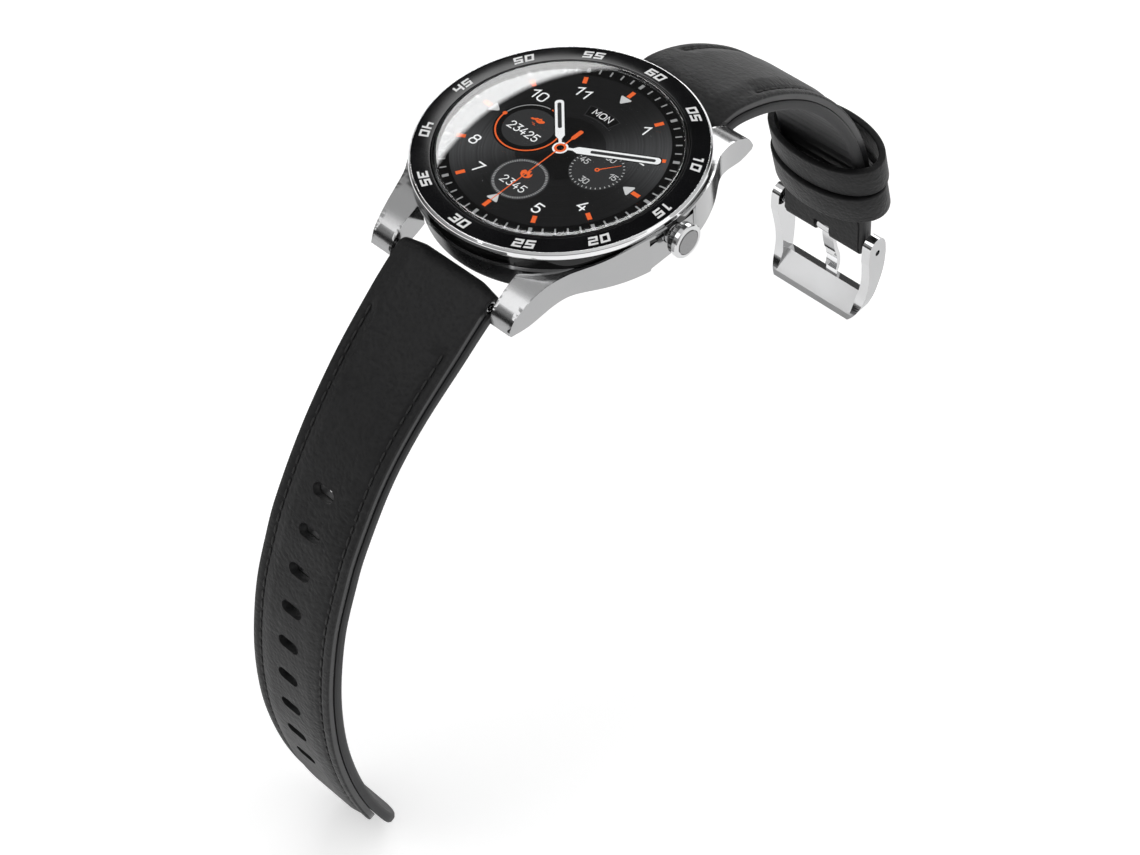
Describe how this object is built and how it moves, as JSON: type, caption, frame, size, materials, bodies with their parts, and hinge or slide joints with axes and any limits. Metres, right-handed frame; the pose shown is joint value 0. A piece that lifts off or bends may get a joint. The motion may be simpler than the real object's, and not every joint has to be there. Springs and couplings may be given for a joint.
{
  "type": "smartwatch",
  "caption": "Round smartwatch with lugged steel case, side crown, touch display, leather-faced silicone strap on spring bars, keeper loops and pin buckle.",
  "frame": {"origin": "centre of the flat sensor window on the back of the case, where it rests on the wrist", "axes": "+Z out of the dial, +Y to 12 o'clock, +X to 3 o'clock and the crown"},
  "size_m": [0.048, 0.1342, 0.11],
  "materials": {
    "polished_steel": "polished",
    "gold_plate": "plated",
    "black_plastic": "satin",
    "clear_glass": "clear",
    "dark_lens": "gloss",
    "display_black": "gloss",
    "black_rubber": "matt",
    "board_green": "satin",
    "tinned_steel": "satin",
    "cell_foil": "satin",
    "black_leather": "fine grain",
    "black_silicone": "matt"
  },
  "bodies": {
    "case": {"bezel_ring": "polished_steel", "bezel_insert": "black_plastic", "cover_glass": "clear_glass", "display_panel": "display_black", "display_tape": "black_rubber", "case_frame": "polished_steel", "lower_housing": "black_plastic", "rear_cover": "black_plastic", "rear_seal": "black_rubber", "sensor_window": "dark_lens", "sensor_board": "board_green", "charge_contact_1": "gold_plate", "charge_contact_2": "gold_plate", "inner_chassis": "black_plastic", "main_board": "board_green", "shield_can_1": "tinned_steel", "shield_can_2": "tinned_steel", "crown_switch": "black_plastic", "battery": "cell_foil", "vibration_motor": "tinned_steel", "display_flex": "board_green", "crown_tube": "polished_steel", "crown_seal": "black_rubber", "spring_bar_lower": "polished_steel", "spring_bar_upper": "polished_steel", "case_screw_1": "polished_steel", "case_screw_2": "polished_steel", "case_screw_3": "polished_steel", "case_screw_4": "polished_steel"},
    "crown_stem": {"crown_stem": "polished_steel", "crown_clip": "polished_steel"},
    "crown_knob": {"crown_knob": "polished_steel", "crown_cap": "tinned_steel"},
    "strap_long": {"leather_long": "black_leather", "silicone_long": "black_silicone"},
    "strap_short": {"leather_short": "black_leather", "silicone_short": "black_silicone", "keeper_fixed": "black_leather"},
    "keeper_free": {"keeper_free": "black_leather"},
    "buckle": {"buckle_frame": "polished_steel", "buckle_pin": "polished_steel"},
    "tongue": {"buckle_tongue": "polished_steel"},
    "tip_lower_right": {"bar_tip_lower_right": "polished_steel"},
    "tip_lower_left": {"bar_tip_lower_left": "polished_steel"},
    "tip_upper_right": {"bar_tip_upper_right": "polished_steel"},
    "tip_upper_left": {"bar_tip_upper_left": "polished_steel"}
  },
  "joints": [
    {"name": "crown_push", "type": "slide", "parent": "case", "child": "crown_stem", "axis": [-1, 0, 0], "range_m": [0, 0.0005], "stiffness_N_per_m": 3000},
    {"name": "crown_turn", "type": "hinge", "parent": "crown_stem", "child": "crown_knob", "pos_m": [0, 0, 0.007], "axis": [1, 0, 0], "continuous": true},
    {"name": "long_strap_hinge", "type": "hinge", "parent": "case", "child": "strap_long", "pos_m": [0, -0.0242, 0.002], "axis": [1, 0, 0], "range_deg": [-60, 45]},
    {"name": "short_strap_hinge", "type": "hinge", "parent": "case", "child": "strap_short", "pos_m": [0, 0.0242, 0.002], "axis": [1, 0, 0], "range_deg": [-35, 60]},
    {"name": "keeper_slide", "type": "hinge", "parent": "strap_short", "child": "keeper_free", "pos_m": [0, 0.0152, -0.0409], "axis": [1, 0, 0], "range_deg": [0, 12]},
    {"name": "buckle_hinge", "type": "hinge", "parent": "strap_short", "child": "buckle", "pos_m": [0, 0.06095, -0.05055], "axis": [1, 0, 0], "range_deg": [-70, 45]},
    {"name": "tongue_hinge", "type": "hinge", "parent": "buckle", "child": "tongue", "pos_m": [0, 0.06095, -0.05055], "axis": [1, 0, 0], "range_deg": [0, 75]},
    {"name": "bar_tip_lower_right_press", "type": "slide", "parent": "case", "child": "tip_lower_right", "axis": [-1, 0, 0], "range_m": [0, 0.0012], "stiffness_N_per_m": 600},
    {"name": "bar_tip_lower_left_press", "type": "slide", "parent": "case", "child": "tip_lower_left", "axis": [1, 0, 0], "range_m": [0, 0.0012], "stiffness_N_per_m": 600},
    {"name": "bar_tip_upper_right_press", "type": "slide", "parent": "case", "child": "tip_upper_right", "axis": [-1, 0, 0], "range_m": [0, 0.0012], "stiffness_N_per_m": 600},
    {"name": "bar_tip_upper_left_press", "type": "slide", "parent": "case", "child": "tip_upper_left", "axis": [1, 0, 0], "range_m": [0, 0.0012], "stiffness_N_per_m": 600}
  ]
}
